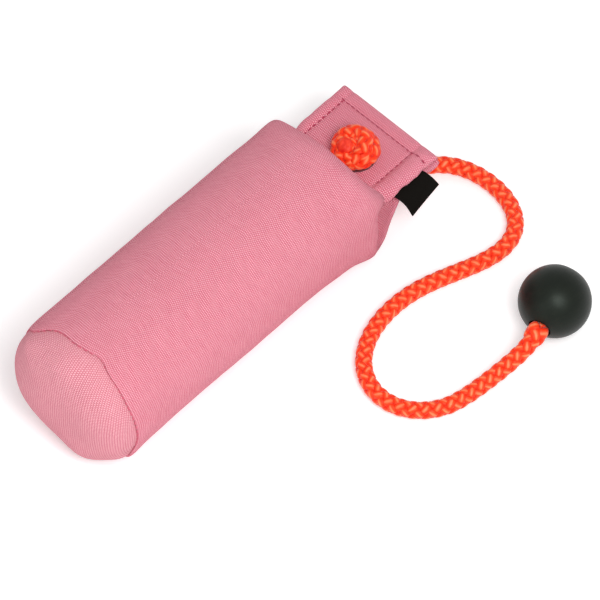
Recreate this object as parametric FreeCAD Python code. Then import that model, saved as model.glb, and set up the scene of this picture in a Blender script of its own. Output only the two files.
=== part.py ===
import FreeCAD, Part
import math
import os

# Dog training bumper: a stuffed canvas roll with a flat sewn flap at one end and a
# throwing rope, knotted through the flap and through a ball.
# Millimetres. +X runs along the roll towards the flap, +Y is its left side, +Z is up.
# The origin is the middle of the flat patch on which the roll rests.

# Roll
ROLL_RADIUS = 27.0
REST_HALF_WIDTH = 7.0
ROLL_LENGTH = 110.5
CANVAS = 1.1
SEAM_TUCK = 1.0
SEAM_ROLL = 3.0
DISC_DOME = 13.5
DISC_INSET = 0.7
DISC_FLATNESS = 2.4
SEAM_ALLOWANCE = 6.0

# Stuffing
FOAM_WALL = 6.0
BAG_WALL = 0.4
TOP_PAD = 15.0
TOP_PAD_GAP = 7.3

# Shoulder, from the full roll to the throat where the flap starts
THROAT_REACH = 11.05
SHOULDER = 24.0
THROAT_VALLEY = 12.0
CORNER_DROOP = 9.5
CORNER_FLARE = 2.4
CORNER_REACH = 12.0
CORNER_FOLD_DROP = 6.6

# Flap of four plies
FLAP_WIDTH = 43.5
FLAP_LENGTH = 27.0
FLAP_TOP = 29.0
PLIES = 4
FOLD_SLIT = 0.2
FOLD_GAP = 0.8

# Eyelet
EYELET_CLEARANCE = 0.6
EYELET_SIDE = -1.5
EYELET_BORE = 8.0
EYELET_FLANGE = 15.0
EYELET_BARREL_WALL = 0.6
EYELET_SHEET = 0.6

# Label
LABEL_FROM_THROAT = 6.0
LABEL_LENGTH = 13.5
LABEL_REACH = 7.6
LABEL_FALL = 4.6
LABEL_THICK = 0.8
LABEL_CLEARANCE = 0.1

# Stitches
STITCH_LENGTH = 1.6
STITCH_PITCH = 2.3
STITCH_WIDTH = 0.5
STITCH_HEIGHT = 0.35
END_ROW_INSET = 5.25
LEFT_ROW_INSET = 4.8
RIGHT_ROW_INSET = 7.0
SIDE_SEAM_ANGLE = 150.0

# Rope
ROPE = 6.0
KNOT_WIDTH = 16.4
KNOT_SECOND_TURN = 14.6
KNOT_SECOND_RISE = 4.2
KNOT_SECOND_TILT = 10.0
KNOT_TIP_RISE = 12.0
KNOT_TIP_OFFSET = (-2.5, 2.4)
EXIT_BELOW_FLAP = 2.1
EXIT_RUN = 5.5
MOUTH_RUN = 4.0
FLOOR_CLEARANCE = 0.05
ARC_SHARE = 0.45

# Ball
BALL = 25.0
BALL_X = 85.6
BALL_Y = -83.4
BORE_HEADING = 17.0
BORE_RISE = 3.0
BALL_BORE = 7.0
COUNTERBORE = 15.0
COUNTERBORE_FLOOR = 3.0
BORE_EDGE = 0.6
BALL_KNOT_WIDTH = 13.0
KNOT_SEAT_CLEARANCE = 0.05

AXIS_HEIGHT = math.sqrt(ROLL_RADIUS ** 2 - REST_HALF_WIDTH ** 2)
SEAM_X = -ROLL_LENGTH / 2
THROAT_X = ROLL_LENGTH / 2 + THROAT_REACH
BAG_START = SEAM_X + SEAM_ALLOWANCE
TOP_PAD_END = THROAT_X - TOP_PAD_GAP
BAG_END = TOP_PAD_END - TOP_PAD
BAG_RADIUS = ROLL_RADIUS - CANVAS - FOAM_WALL
FLAP_END = THROAT_X + FLAP_LENGTH
FLAP_HALF = FLAP_WIDTH / 2
FLAP_BOTTOM = FLAP_TOP - PLIES * CANVAS
EYELET_X = THROAT_X + EYELET_FLANGE / 2 + EYELET_CLEARANCE
RING = 16
STEP = 2 * math.pi / RING
RING_SPREAD = 6 / (4 + 2 * math.cos(STEP))
X_AXIS = FreeCAD.Vector(1, 0, 0)
Z_AXIS = FreeCAD.Vector(0, 0, 1)
BALL_CENTRE = FreeCAD.Vector(BALL_X, BALL_Y, BALL / 2)
BORE_AXIS = FreeCAD.Vector(
    math.cos(math.radians(BORE_RISE)) * math.cos(math.radians(BORE_HEADING)),
    math.cos(math.radians(BORE_RISE)) * math.sin(math.radians(BORE_HEADING)),
    math.sin(math.radians(BORE_RISE)),
)
BALL_MOUTH = math.sqrt(BALL ** 2 - BALL_BORE ** 2) / 2

# Lines of control points across the shoulder: distance back from the throat as a share of
# the shoulder, then how far each corner of the section has moved from the roll to the throat
# (0 to 1). The ridges have a share sideways, which may pass 1 because they flare, and a
# share in height.
STATIONS = [
    # back, top, upper ridge, valley, lower ridge, bottom
    (1.00, 0.00, (0.00, 0.00), 0.00, (0.00, 0.00), 0.00),
    (0.82, 0.00, (0.00, 0.00), 0.00, (0.00, 0.00), 0.00),
    (0.60, 0.00, (0.50, 0.00), 0.00, (0.50, 0.00), 0.00),
    (0.40, 0.05, (1.20, 0.00), 0.00, (1.10, 0.00), 0.06),
    (0.25, 0.22, (1.75, 0.12), 0.12, (1.35, 0.20), 0.24),
    (0.14, 0.57, (1.80, 0.42), 0.40, (1.25, 0.48), 0.50),
    (0.06, 0.92, (1.40, 0.85), 0.75, (1.10, 0.78), 0.80),
    (0.00, 1.00, (1.00, 1.00), 1.00, (1.00, 1.00), 1.00),
]
CAVITY_STATIONS = 6


def box(x0, x1, y0, y1, z0, z1):
    """A box between two corners."""
    return Part.makeBox(x1 - x0, y1 - y0, z1 - z0, FreeCAD.Vector(x0, y0, z0))


def rod(radius, start, end):
    """A round bar between two points."""
    return Part.makeCylinder(radius, (end - start).Length, start, end - start)


def roll_round(radius, x0, x1):
    """A cylinder about the roll's axis."""
    return rod(radius, FreeCAD.Vector(x0, 0, AXIS_HEIGHT), FreeCAD.Vector(x1, 0, AXIS_HEIGHT))


def above(shape, height):
    """What of a shape lies above a height."""
    reach = 4 * ROLL_RADIUS
    return shape.common(box(-reach, reach, -reach, reach, height, reach))


def circle_points(radius):
    """Half of a section's control points on a circle, from the top to the bottom."""
    spread = radius * RING_SPREAD
    return [
        (spread * math.sin(k * STEP), AXIS_HEIGHT + spread * math.cos(k * STEP))
        for k in range(RING // 2 + 1)
    ]


def blend(a, b, share):
    return a + (b - a) * share


def shoulder_points(station):
    """Half of a shoulder section's control points, from the top to the bottom."""
    back, top, upper, valley, lower, bottom = station
    roll = circle_points(ROLL_RADIUS)
    middle = (FLAP_TOP + FLAP_BOTTOM - CORNER_DROOP) / 2
    ridge_low = FLAP_BOTTOM - CORNER_DROOP + CANVAS
    keys = {
        0: (0.0, blend(roll[0][1], FLAP_TOP, top)),
        2: (blend(roll[2][0], FLAP_HALF, upper[0]), blend(roll[2][1], FLAP_TOP, upper[1])),
        4: (blend(roll[4][0], THROAT_VALLEY, valley), blend(roll[4][1], middle, valley)),
        6: (blend(roll[6][0], FLAP_HALF + CORNER_FLARE, lower[0]),
            blend(roll[6][1], ridge_low, lower[1])),
        8: (0.0, blend(roll[8][1], FLAP_BOTTOM, bottom)),
    }
    points = []
    for k in range(RING // 2 + 1):
        if k in keys:
            points.append(keys[k])
            continue
        before, after = keys[k - 1], keys[k + 1]
        swell = [roll[k][i] - (roll[k - 1][i] + roll[k + 1][i]) / 2 for i in (0, 1)]
        points.append(tuple((before[i] + after[i]) / 2 + back * swell[i] for i in (0, 1)))
    return points


def inset(points, depth):
    """Control points moved inwards, square to the line through their neighbours."""
    whole = whole_ring(points)
    moved = []
    for k in range(len(points)):
        y0, z0 = whole[k - 1]
        y1, z1 = whole[(k + 1) % RING]
        length = math.hypot(y1 - y0, z1 - z0)
        y, z = whole[k]
        moved.append((y + depth * (z1 - z0) / length, z - depth * (y1 - y0) / length))
    return moved


def whole_ring(points):
    """Both halves of a section, from its right or left half."""
    mirrored = [(-y, z) for y, z in reversed(points[1:-1])]
    return list(points) + mirrored


def section_wire(x, points):
    """A closed smooth curve through a section's control points."""
    curve = Part.BSplineCurve()
    poles = [FreeCAD.Vector(x, y, z) for y, z in whole_ring(points)]
    curve.buildFromPoles(poles, True, 3)
    return Part.Wire([curve.toShape()])


def skin(sections):
    """A smooth solid whose skin is pulled towards sections of control points."""
    rows = [[FreeCAD.Vector(x, y, z) for y, z in whole_ring(points)] for x, points in sections]
    around = [list(column) for column in zip(*rows)]
    spans = len(rows) - 3
    surface = Part.BSplineSurface()
    surface.buildFromPolesMultsKnots(
        around,
        [1] * (RING + 1), [4] + [1] * (spans - 1) + [4],
        list(range(RING + 1)), list(range(spans + 1)),
        True, False, 3, 3)
    ends = [Part.Face(section_wire(*sections[0])), Part.Face(section_wire(*sections[-1]))]
    shell = Part.Shell([surface.toShape()] + ends)
    shell.sewShape()
    solid = Part.Solid(shell)
    solid.fixTolerance(1e-6)
    return solid if solid.Volume > 0 else solid.reversed()


def straight(x0, x1, points):
    """A solid of one section along the roll's axis."""
    return Part.Face(section_wire(x0, points)).extrude(X_AXIS * (x1 - x0))


def roll_solid(depth):
    """The roll and its shoulder as a solid, its surface moved inwards by a depth."""
    full = circle_points(ROLL_RADIUS - depth)
    end = circle_points(ROLL_RADIUS - SEAM_TUCK - depth)
    rolled = skin([(SEAM_X, end), (SEAM_X, full),
                   (SEAM_X + SEAM_ROLL / 2, full), (SEAM_X + SEAM_ROLL, full)])
    body = straight(SEAM_X + SEAM_ROLL, THROAT_X - SHOULDER - depth, full)
    sections = []
    for station in STATIONS[:CAVITY_STATIONS] if depth else STATIONS:
        points = shoulder_points(station)
        x = THROAT_X - SHOULDER * station[0] - depth
        sections.append((x, inset(points, depth) if depth else points))
    sections[0] = (sections[0][0], full)
    return above(rolled.fuse([body, skin(sections)]), depth)


def cavity_solid():
    """The room inside the sleeve, open past its seam."""
    radius = ROLL_RADIUS - SEAM_TUCK - CANVAS
    mouth = straight(SEAM_X - SEAM_ALLOWANCE, SEAM_X, circle_points(radius))
    return roll_solid(CANVAS).fuse(above(mouth, CANVAS))


def dome(radius, height, back):
    """A shallow dome about the roll's axis, with a flat back face at the seam."""
    steps = 10
    points = []
    for k in range(steps + 1):
        angle = math.pi / 2 * k / steps
        out = height * math.sin(angle) ** (2 / DISC_FLATNESS)
        across = radius * math.cos(angle) ** (2 / DISC_FLATNESS) if k < steps else 0.0
        points.append(FreeCAD.Vector(back - out, 0, AXIS_HEIGHT + across))
    curve = Part.BSplineCurve()
    curve.interpolate(points)
    foot = FreeCAD.Vector(back, 0, AXIS_HEIGHT)
    edges = [curve.toShape(), Part.makeLine(points[-1], foot), Part.makeLine(foot, points[0])]
    return Part.Face(Part.Wire(edges)).revolve(foot, X_AXIS, 360)


def stitch(centre, along, out):
    """One stitch lying on a surface: its length, its height off the surface, its width."""
    across = out.cross(along)
    block = box(-STITCH_LENGTH / 2, STITCH_LENGTH / 2, -STITCH_WIDTH / 2, STITCH_WIDTH / 2,
                0, STITCH_HEIGHT)
    turn = FreeCAD.Matrix(along.x, across.x, out.x, centre.x,
                          along.y, across.y, out.y, centre.y,
                          along.z, across.z, out.z, centre.z,
                          0, 0, 0, 1)
    return block.transformed(turn)


def stitch_row(start, end, out):
    """Evenly spaced stitches along a straight row."""
    length = (end - start).Length
    count = max(1, round(length / STITCH_PITCH))
    along = (end - start).normalize()
    return [stitch(start + along * (length * (k + 0.5) / count), along, out) for k in range(count)]


def group(shapes):
    return Part.makeCompound(shapes)


def cover_sleeve(cavity):
    return roll_solid(0).cut(cavity)


def end_disc(cavity):
    """The domed disc, with its seam allowance turned into the sleeve."""
    radius = ROLL_RADIUS - SEAM_TUCK - DISC_INSET
    shell = dome(radius, DISC_DOME, SEAM_X).cut(dome(radius - CANVAS, DISC_DOME - CANVAS, SEAM_X))
    rim = cavity.common(box(SEAM_X, SEAM_X + SEAM_ALLOWANCE, -ROLL_RADIUS, ROLL_RADIUS,
                            0, 2 * ROLL_RADIUS))
    return shell.fuse(rim.cut(rim_bore()))


def rim_bore():
    """The space inside the disc's turned-in seam allowance."""
    radius = ROLL_RADIUS - SEAM_TUCK - 2 * CANVAS
    return above(roll_round(radius, SEAM_X, SEAM_X + SEAM_ALLOWANCE), 2 * CANVAS)


def end_seam_stitches():
    """Stitches in the groove between the sleeve's rolled end and the disc."""
    outer = ROLL_RADIUS - SEAM_TUCK
    radius = outer - DISC_INSET / 2
    count = round(2 * math.pi * radius / STITCH_PITCH)
    stitches = []
    for k in range(count):
        angle = 2 * math.pi * k / count
        centre = FreeCAD.Vector(SEAM_X, radius * math.sin(angle),
                                AXIS_HEIGHT + radius * math.cos(angle))
        along = FreeCAD.Vector(0, math.cos(angle), -math.sin(angle))
        stitches.append(stitch(centre, along, X_AXIS * -1))
    return group(stitches)


def side_seam_stitches():
    """The lengthwise seam, low on the left side."""
    angle = math.radians(SIDE_SEAM_ANGLE)
    out = FreeCAD.Vector(0, math.sin(angle), math.cos(angle))
    foot = FreeCAD.Vector(0, 0, AXIS_HEIGHT) + out * ROLL_RADIUS
    start = foot + X_AXIS * (SEAM_X + SEAM_ROLL)
    end = foot + X_AXIS * (THROAT_X - SHOULDER)
    return group(stitch_row(start, end, out))


def foam_wrap(cavity):
    wrap = cavity.common(box(BAG_START, BAG_END, -ROLL_RADIUS, ROLL_RADIUS, 0, 2 * ROLL_RADIUS))
    return wrap.cut(roll_round(BAG_RADIUS, BAG_START, BAG_END))


def granulate_fill():
    return roll_round(BAG_RADIUS - BAG_WALL, BAG_START + BAG_WALL, BAG_END - BAG_WALL)


def inner_bag():
    return roll_round(BAG_RADIUS, BAG_START, BAG_END).cut(granulate_fill())


def foam_pad_bottom():
    radius = ROLL_RADIUS - SEAM_TUCK - DISC_INSET - CANVAS
    return dome(radius, DISC_DOME - CANVAS, SEAM_X).fuse(rim_bore())


def foam_pad_top(cavity):
    return cavity.common(box(BAG_END, TOP_PAD_END, -ROLL_RADIUS, ROLL_RADIUS, 0, 2 * ROLL_RADIUS))


def ply_level(k):
    """Height of the underside of a flap ply, counted from the bottom one."""
    return FLAP_BOTTOM + k * CANVAS


def eyelet_hole():
    radius = EYELET_BORE / 2 + EYELET_BARREL_WALL
    low = FreeCAD.Vector(EYELET_X, EYELET_SIDE, FLAP_BOTTOM - ROPE)
    high = FreeCAD.Vector(EYELET_X, EYELET_SIDE, FLAP_TOP + ROPE)
    return rod(radius, low, high)


def flap_upper_ply():
    ply = box(THROAT_X, FLAP_END - CANVAS, -FLAP_HALF, FLAP_HALF, ply_level(3), FLAP_TOP)
    return ply.cut(eyelet_hole())


def drooping_corner(side):
    """The soft corner where the lower fold leaves the flap and runs down to the roll."""
    inner = FreeCAD.Vector(THROAT_X, side * THROAT_VALLEY, FLAP_BOTTOM)
    low = FreeCAD.Vector(THROAT_X, side * (FLAP_HALF + CORNER_FLARE / 2),
                         FLAP_BOTTOM - CORNER_FOLD_DROP)
    edge = FreeCAD.Vector(THROAT_X, side * FLAP_HALF, ply_level(1))
    tip = FreeCAD.Vector(THROAT_X + CORNER_REACH, side * FLAP_HALF, FLAP_BOTTOM + CANVAS / 2)
    corners = [(inner, low, edge), (inner, low, tip), (low, edge, tip), (edge, inner, tip)]
    faces = [Part.Face(Part.makePolygon([a, b, c, a])) for a, b, c in corners]
    return Part.Solid(Part.Shell(faces))


def flap_lower_ply():
    ply = box(THROAT_X, FLAP_END - CANVAS, -FLAP_HALF, FLAP_HALF, FLAP_BOTTOM, ply_level(1))
    for side in (-1, 1):
        ply = ply.fuse(drooping_corner(side))
    return ply.removeSplitter().cut(eyelet_hole())


def gusset(side):
    """A side fold of two plies, folded inwards between the upper and the lower ply."""
    inner = FOLD_GAP / 2
    low, high = sorted((side * inner, side * FLAP_HALF))
    fold = box(THROAT_X, FLAP_END - CANVAS, low, high, ply_level(1), ply_level(3))
    low, high = sorted((side * (inner + CANVAS), side * FLAP_HALF))
    slit = box(THROAT_X, FLAP_END - CANVAS, low, high,
               ply_level(2) - FOLD_SLIT / 2, ply_level(2) + FOLD_SLIT / 2)
    return fold.cut(slit).cut(eyelet_hole())


def flap_end_fold():
    """The turned edge that closes the plies at the flap's end."""
    return box(FLAP_END - CANVAS, FLAP_END, -FLAP_HALF, FLAP_HALF, FLAP_BOTTOM, FLAP_TOP)


def row_end(inset_y):
    """A point of the stitched frame at the flap's end."""
    return FreeCAD.Vector(FLAP_END - END_ROW_INSET, inset_y, FLAP_TOP)


def flap_end_stitches():
    left = row_end(FLAP_HALF - LEFT_ROW_INSET - STITCH_WIDTH)
    right = row_end(-FLAP_HALF + RIGHT_ROW_INSET + STITCH_WIDTH)
    return group(stitch_row(right, left, Z_AXIS))


def flap_side_stitches(side, row_inset):
    end = row_end(side * (FLAP_HALF - row_inset))
    start = FreeCAD.Vector(THROAT_X + CANVAS, end.y, FLAP_TOP)
    return group(stitch_row(start, end, Z_AXIS))


def eyelet_ring(z0, z1, inner, outer):
    low = FreeCAD.Vector(EYELET_X, EYELET_SIDE, z0)
    high = FreeCAD.Vector(EYELET_X, EYELET_SIDE, z1)
    return rod(outer, low, high).cut(rod(inner, low, high))


def eyelet_grommet():
    bore = EYELET_BORE / 2
    barrel = eyelet_ring(FLAP_BOTTOM - EYELET_SHEET, FLAP_TOP, bore, bore + EYELET_BARREL_WALL)
    flange = eyelet_ring(FLAP_TOP, FLAP_TOP + EYELET_SHEET, bore, EYELET_FLANGE / 2)
    return barrel.fuse(flange).removeSplitter()


def eyelet_washer():
    inner = EYELET_BORE / 2 + EYELET_BARREL_WALL
    return eyelet_ring(FLAP_BOTTOM - EYELET_SHEET, FLAP_BOTTOM, inner, EYELET_FLANGE / 2)


def label_tab():
    """A folded woven label that hangs from the flap's right edge, round at its sewn edge."""
    root = FreeCAD.Vector(THROAT_X + LABEL_FROM_THROAT,
                          -FLAP_HALF - LABEL_THICK / 2 - LABEL_CLEARANCE, ply_level(2))
    tip = root + FreeCAD.Vector(0, -LABEL_REACH + LABEL_THICK, -LABEL_FALL)
    along = (tip - root).normalize()
    out = FreeCAD.Vector(0, -along.z, along.y) * (LABEL_THICK / 2)
    high = [root - out, tip - out]
    low = [root + out, tip + out]
    root_round = Part.Arc(low[0], root - along * (LABEL_THICK / 2), high[0]).toShape()
    edges = [Part.makeLine(high[0], high[1]), Part.makeLine(high[1], low[1]),
             Part.makeLine(low[1], low[0]), root_round]
    return Part.Face(Part.Wire(edges)).extrude(X_AXIS * LABEL_LENGTH)


def ring_of_rope(width, centre, normal):
    return Part.makeTorus((width - ROPE) / 2, ROPE / 2, centre, normal)


def flap_knot():
    """The stopper knot above the flap, and the rope's end that goes down the eyelet."""
    seat = FreeCAD.Vector(EYELET_X, EYELET_SIDE, FLAP_TOP + EYELET_SHEET)
    first = seat + Z_AXIS * (ROPE / 2)
    second = first + Z_AXIS * KNOT_SECOND_RISE
    tilt = math.radians(KNOT_SECOND_TILT)
    lean = FreeCAD.Vector(-math.sin(tilt), 0, math.cos(tilt))
    knot = ring_of_rope(KNOT_WIDTH, first, Z_AXIS)
    knot = knot.fuse(ring_of_rope(KNOT_SECOND_TURN, second, lean))
    core = rod((KNOT_SECOND_TURN - ROPE) / 2, first - Z_AXIS * (ROPE / 2), second + Z_AXIS)
    tip_foot = second + FreeCAD.Vector(KNOT_TIP_OFFSET[0], KNOT_TIP_OFFSET[1], 0)
    tip_top = FreeCAD.Vector(tip_foot.x, tip_foot.y, seat.z + KNOT_TIP_RISE)
    rope_exit = FreeCAD.Vector(EYELET_X, EYELET_SIDE, FLAP_BOTTOM - EXIT_BELOW_FLAP)
    return knot.fuse([core, rod(ROPE / 2, tip_foot, tip_top), rod(ROPE / 2, rope_exit, first)])


def set_on_bore(shape):
    """A shape made about +Z at the origin, moved to the ball's centre and bore axis."""
    placed = shape.copy()
    placed.Placement = FreeCAD.Placement(BALL_CENTRE, FreeCAD.Rotation(Z_AXIS, BORE_AXIS))
    return placed


def throw_ball():
    """A turned ball with a bore for the rope and a wider seat for its stopper knot."""
    bore = BALL_BORE / 2
    seat = COUNTERBORE / 2
    flare = bore + BORE_EDGE
    mouth = -math.sqrt((BALL / 2) ** 2 - flare ** 2)
    rim = math.sqrt((BALL / 2) ** 2 - seat ** 2)
    profile = [(flare, mouth), (bore, mouth + BORE_EDGE), (bore, COUNTERBORE_FLOOR),
               (seat, COUNTERBORE_FLOOR), (seat, rim)]
    points = [FreeCAD.Vector(across, 0, up) for across, up in profile]
    edges = [Part.makeLine(a, b) for a, b in zip(points, points[1:])]
    edges.append(Part.Arc(points[-1], X_AXIS * (BALL / 2), points[0]).toShape())
    turned = Part.Face(Part.Wire(edges)).revolve(FreeCAD.Vector(), Z_AXIS, 360)
    return set_on_bore(turned)


def ball_knot():
    """The stopper knot in the ball's seat, and the rope in the bore."""
    seat = Z_AXIS * (COUNTERBORE_FLOOR + KNOT_SEAT_CLEARANCE)
    far_side = seat + Z_AXIS * ROPE
    knot = ring_of_rope(BALL_KNOT_WIDTH, seat + Z_AXIS * (ROPE / 2), Z_AXIS)
    core = rod((BALL_KNOT_WIDTH - ROPE) / 2, seat, far_side)
    end = rod(ROPE / 2, Z_AXIS * -BALL_MOUTH, far_side + Z_AXIS * CANVAS)
    return set_on_bore(knot.fuse([core, end]))


def along_bore(distance):
    """A point on the ball's bore axis, counted from its centre towards the knot."""
    return BALL_CENTRE + BORE_AXIS * distance


def rope_route():
    """The rope's route from under the eyelet, along the floor, to the ball's bore."""
    on_floor = ROPE / 2 + FLOOR_CLEARANCE
    exit_z = FLAP_BOTTOM - EXIT_BELOW_FLAP
    route = [
        (EYELET_X, EYELET_SIDE, exit_z),
        (EYELET_X, EYELET_SIDE, exit_z - EXIT_RUN),
        (76.9, -2.0, 11.6),
        (82.2, -3.2, 7.9),
        (89.6, -5.6, 5.8),
        (97.4, -8.9, 4.7),
        (104.4, -13.4, 3.9),
        (108.7, -19.6, on_floor + 0.3),
        (110.8, -27.4, on_floor),
        (110.6, -36.3, on_floor),
        (107.9, -44.4, on_floor),
        (102.4, -50.3, on_floor),
        (94.8, -52.4, on_floor),
        (86.4, -51.2, on_floor),
        (77.8, -48.1, on_floor),
        (69.3, -44.8, on_floor),
        (60.6, -42.3, on_floor),
        (51.3, -41.4, on_floor),
        (42.3, -42.3, on_floor),
        (33.6, -45.3, on_floor),
        (26.2, -50.9, on_floor),
        (21.8, -59.2, on_floor),
        (21.9, -68.6, on_floor),
        (26.6, -76.9, on_floor),
        (34.4, -82.2, on_floor),
        (42.2, -83.9, on_floor),
        (49.2, -84.9, on_floor + 0.5),
        (55.4, -86.1, on_floor + 2.2),
        (60.9, -87.4, on_floor + 4.7),
        (65.6, -88.3, on_floor + 7.2),
    ]
    points = [FreeCAD.Vector(*point) for point in route]
    return points + [along_bore(-BALL_MOUTH - MOUTH_RUN), along_bore(-BALL_MOUTH)]


def throw_rope():
    """A round tube along the route: straight runs joined by arcs tangent to both."""
    points = rope_route()
    edges = []
    length = 0.0
    radii = []
    last = points[0]
    for before, corner, after in zip(points, points[1:], points[2:]):
        run_in = (corner - before).normalize()
        run_out = (after - corner).normalize()
        turn = run_in.getAngle(run_out)
        reach = ARC_SHARE * min((corner - before).Length, (after - corner).Length)
        radius = reach / math.tan(turn / 2)
        start = corner - run_in * reach
        end = corner + run_out * reach
        middle = corner + (run_out - run_in).normalize() * (radius / math.cos(turn / 2) - radius)
        edges.append(Part.LineSegment(last, start).toShape())
        edges.append(Part.Arc(start, middle, end).toShape())
        length += (start - last).Length + radius * turn
        radii.append(round(radius, 1))
        last = end
    edges.append(Part.LineSegment(last, points[-1]).toShape())
    length += (points[-1] - last).Length
    circle = Part.makeCircle(ROPE / 2, points[0], points[1] - points[0])
    tube = Part.Wire(edges).makePipeShell([Part.Wire([circle])], True, True)
    section = math.pi * (ROPE / 2) ** 2
    print("rope length", round(length, 1), "bend radii", radii)
    print("rope volume", round(tube.Volume, 1), "section x length", round(section * length, 1))
    return tube


def build():
    cavity = cavity_solid()
    return {
        "cover_sleeve": cover_sleeve(cavity),
        "end_disc": end_disc(cavity),
        "end_seam_stitches": end_seam_stitches(),
        "side_seam_stitches": side_seam_stitches(),
        "foam_wrap": foam_wrap(cavity),
        "inner_bag": inner_bag(),
        "granulate_fill": granulate_fill(),
        "foam_pad_bottom": foam_pad_bottom(),
        "foam_pad_top": foam_pad_top(cavity),
        "flap_upper_ply": flap_upper_ply(),
        "flap_lower_ply": flap_lower_ply(),
        "flap_gusset_left": gusset(1),
        "flap_gusset_right": gusset(-1),
        "flap_end_fold": flap_end_fold(),
        "flap_end_stitches": flap_end_stitches(),
        "flap_left_stitches": flap_side_stitches(1, LEFT_ROW_INSET),
        "flap_right_stitches": flap_side_stitches(-1, RIGHT_ROW_INSET),
        "eyelet_grommet": eyelet_grommet(),
        "eyelet_washer": eyelet_washer(),
        "label_tab": label_tab(),
        "flap_knot": flap_knot(),
        "throw_rope": throw_rope(),
        "throw_ball": throw_ball(),
        "ball_knot": ball_knot(),
    }


os.makedirs("parts", exist_ok=True)
for name, shape in build().items():
    print(name, "valid" if shape.isValid() else "NOT VALID", len(shape.Solids), "solids",
          round(shape.Volume, 1), "mm3")
    shape.exportStep("parts/" + name + ".step")
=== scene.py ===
import math

import bmesh
import bpy
import numpy as np
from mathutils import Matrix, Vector, noise

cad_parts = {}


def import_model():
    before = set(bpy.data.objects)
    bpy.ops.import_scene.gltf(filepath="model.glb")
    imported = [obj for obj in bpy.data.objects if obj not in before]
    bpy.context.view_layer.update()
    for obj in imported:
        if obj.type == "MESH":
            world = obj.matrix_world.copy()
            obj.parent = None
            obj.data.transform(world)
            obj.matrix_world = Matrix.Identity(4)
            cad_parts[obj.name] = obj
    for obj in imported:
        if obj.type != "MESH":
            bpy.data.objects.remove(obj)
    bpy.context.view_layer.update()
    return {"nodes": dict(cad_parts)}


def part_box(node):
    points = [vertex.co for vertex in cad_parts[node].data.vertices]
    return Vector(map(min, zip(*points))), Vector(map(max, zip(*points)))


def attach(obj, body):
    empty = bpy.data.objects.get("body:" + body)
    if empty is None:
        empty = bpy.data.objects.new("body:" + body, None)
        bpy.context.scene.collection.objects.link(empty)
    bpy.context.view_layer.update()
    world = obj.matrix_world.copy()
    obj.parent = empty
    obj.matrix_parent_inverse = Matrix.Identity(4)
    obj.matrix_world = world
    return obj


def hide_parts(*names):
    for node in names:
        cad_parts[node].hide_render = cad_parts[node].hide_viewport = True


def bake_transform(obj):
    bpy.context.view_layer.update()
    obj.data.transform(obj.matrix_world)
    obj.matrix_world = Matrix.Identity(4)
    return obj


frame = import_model()

MM = 0.001


def box_mm(node):
    """A CAD node's lowest and highest corner, in millimetres."""
    low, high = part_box(node)
    return np.array(low) / MM, np.array(high) / MM


# Sizes of the bumper, in millimetres, read from the CAD nodes.
DISC_LOW, DISC_HIGH = box_mm("end_disc")
PLY_LOW, PLY_HIGH = box_mm("flap_upper_ply")
FOLD_LOW, FOLD_HIGH = box_mm("flap_end_fold")
GROMMET_LOW, GROMMET_HIGH = box_mm("eyelet_grommet")
BALL_LOW, BALL_HIGH = box_mm("throw_ball")
LABEL_LOW, LABEL_HIGH = box_mm("label_tab")
SIDE_LOW, SIDE_HIGH = box_mm("side_seam_stitches")
END_ROW = box_mm("flap_end_stitches")
LEFT_ROW = box_mm("flap_left_stitches")
RIGHT_ROW = box_mm("flap_right_stitches")

CANVAS = 1.1
ROLL_RADIUS = 27.0
AXIS_HEIGHT = (DISC_LOW[2] + DISC_HIGH[2]) / 2
SEAM_X = box_mm("end_seam_stitches")[1][0]
SEAM_EASE = 8.0        # the sleeve narrows over this length to its seam
SEAM_WAIST = 0.62      # by this much
SEAM_DEPTH = 4.0       # and both cloths turn in this deep behind it
DOME = SEAM_X - DISC_LOW[0]
DISC_RADIUS = ROLL_RADIUS - 1.15
DISC_FLATNESS = 2.4
THROAT_X = PLY_LOW[0]
SHOULDER = 24.0
THROAT_VALLEY = 12.0   # half the width that the side folds leave between them at the throat
CORNER_DROOP = 9.5     # the lower fold's drop at the throat
CORNER_FLARE = 2.4     # how far it stands out there
CORNER_REACH = 11.0    # and how far along the flap both fade out
FLAP_END = FOLD_HIGH[0]
FLAP_HALF = PLY_HIGH[1]
FLAP_TOP = PLY_HIGH[2]
FLAP_BOTTOM = FOLD_LOW[2]
FLAP_MIDDLE = (FLAP_TOP + FLAP_BOTTOM) / 2
EYELET = (GROMMET_LOW + GROMMET_HIGH) / 2
BALL_CENTRE = (BALL_LOW + BALL_HIGH) / 2
BALL_CENTRE[1] = BALL_LOW[1] + BALL_HIGH[2] / 2
ROPE = 6.0

# A ring of the cover has this many points, from the top over the left side (+Y) and round.
COLUMNS = 384
TURN = 2 * math.pi * np.arange(COLUMNS) / COLUMNS
# Where each point lies on the flap: 0 to 1 the upper ply, 1 to 3 the side fold, 3 to 4 below.
ROLE = 4 - 4 * np.abs(np.arange(COLUMNS) / COLUMNS * 2 - 1)
# A shoulder ring is a closed cubic spline of fewer control points, which stand outside it.
RING = 16
STEP = 2 * math.pi / RING
RING_SPREAD = 6 / (4 + 2 * math.cos(STEP))

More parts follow.
